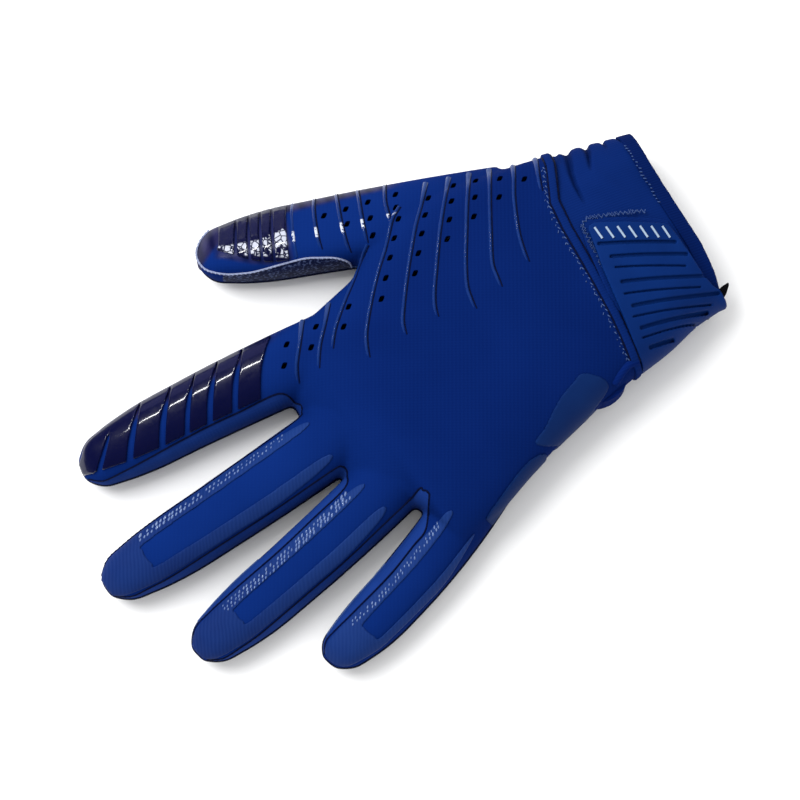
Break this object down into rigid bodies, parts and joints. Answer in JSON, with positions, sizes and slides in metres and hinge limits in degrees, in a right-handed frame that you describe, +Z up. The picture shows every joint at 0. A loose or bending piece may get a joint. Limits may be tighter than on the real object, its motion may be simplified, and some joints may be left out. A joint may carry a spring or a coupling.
{
  "type": "football glove",
  "caption": "Left-hand football glove lying palm down: knit back, side strips between the fingers, grip blocks, perforated ribbed thumb saddle and a strapped cuff, hollow for the hand.",
  "frame": {"origin": "on the surface that the glove lies on, under the middle of the glove's box", "axes": "+Y from the wrist to the fingertips, +X towards the thumb, +Z up from the surface through the back of the hand"},
  "size_m": [0.1412, 0.2206, 0.0326],
  "materials": {
    "knit": "fine knit, slight sheen",
    "palm": "tacky synthetic",
    "side_strip": "stretch knit",
    "overlay": "textured bonded film",
    "grip": "glossy moulded",
    "rib": "satin printed ribs",
    "cuff": "gathered stretch fabric",
    "strap": "satin moulded, grooved",
    "bar": "light raised print",
    "hook": "black hook tape"
  },
  "bodies": {
    "root": {"back_panel": "knit", "palm_panel": "palm", "fourchette_index_middle": "side_strip", "fourchette_middle_ring": "side_strip", "fourchette_ring_pinky": "side_strip", "thumb_gusset": "side_strip", "middle_band": "overlay", "ring_band": "overlay", "pinky_band": "overlay", "edge_film_1": "overlay", "edge_film_2": "overlay", "index_grip_1": "grip", "index_grip_2": "grip", "index_grip_3": "grip", "index_grip_4": "grip", "index_grip_5": "grip", "index_grip_6": "grip", "thumb_grip_1": "grip", "thumb_grip_2": "grip", "thumb_grip_3": "grip", "thumb_grip_4": "grip", "thumb_grip_5": "grip", "saddle_rib_1": "rib", "saddle_rib_2": "rib", "saddle_rib_3": "rib", "saddle_rib_4": "rib", "saddle_rib_5": "rib", "saddle_rib_6": "rib", "saddle_rib_7": "rib", "saddle_rib_8": "rib", "saddle_rib_9": "rib", "saddle_rib_10": "rib", "saddle_rib_11": "rib", "saddle_rib_12": "rib", "saddle_rib_13": "rib", "saddle_rib_14": "rib", "wrist_seam": "cuff", "cuff": "cuff", "cuff_binding": "cuff", "strap_base": "cuff", "strap": "strap", "strap_bar_1": "bar", "strap_bar_2": "bar", "strap_bar_3": "bar", "strap_bar_4": "bar", "strap_bar_5": "bar", "strap_bar_6": "bar", "strap_bar_7": "bar", "strap_hook_tip": "hook", "heel_loop": "cuff"}
  },
  "joints": []
}
